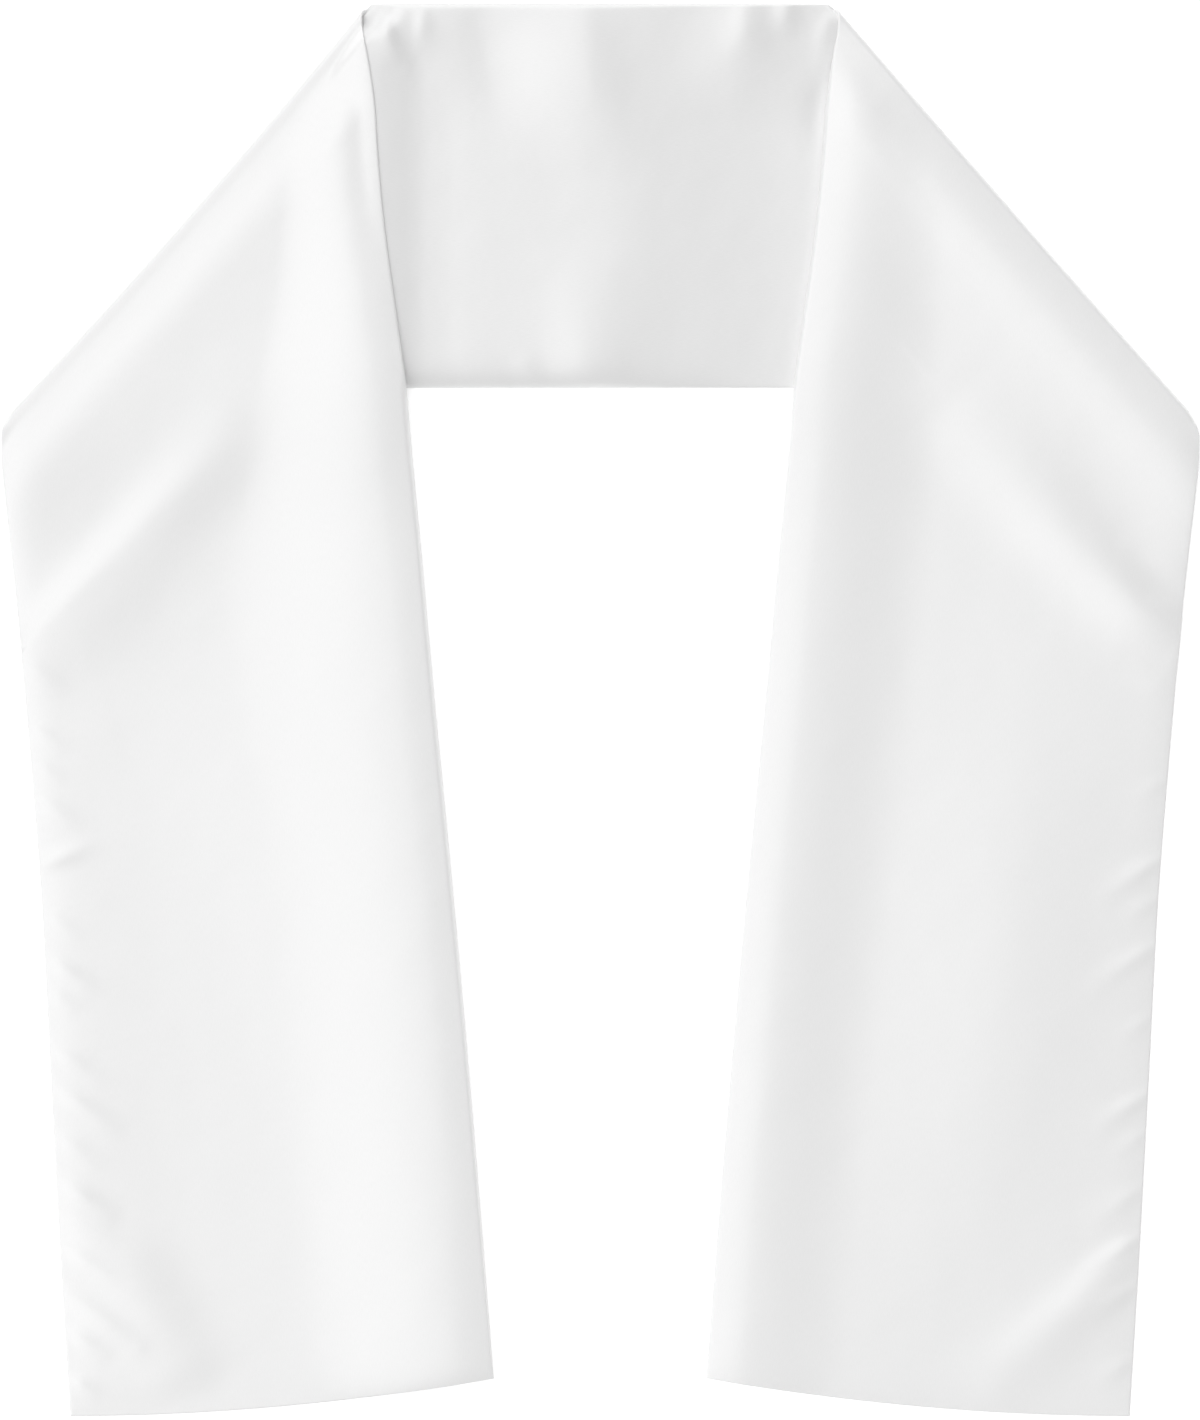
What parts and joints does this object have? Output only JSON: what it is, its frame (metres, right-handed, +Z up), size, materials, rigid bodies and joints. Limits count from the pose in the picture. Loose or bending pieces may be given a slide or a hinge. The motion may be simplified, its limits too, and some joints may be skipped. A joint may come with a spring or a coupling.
{
  "type": "evening stole",
  "caption": "Long double-ply satin stole laid flat, its middle across the neck as a wide band and both ends turned down over slanting shoulder folds as long open fronts.",
  "frame": {"origin": "centre of the bounding box's bottom face, on the surface that the stole lies on", "axes": "+X across the stole to the viewer's right, +Y along it from the hems up to the neck edge, +Z up from the surface"},
  "size_m": [0.7412, 0.8752, 0.017],
  "materials": {
    "white_satin": "white duchess satin with a soft, even sheen"
  },
  "bodies": {
    "root": {"back": "white_satin", "left_front": "white_satin", "right_front": "white_satin"}
  },
  "joints": []
}
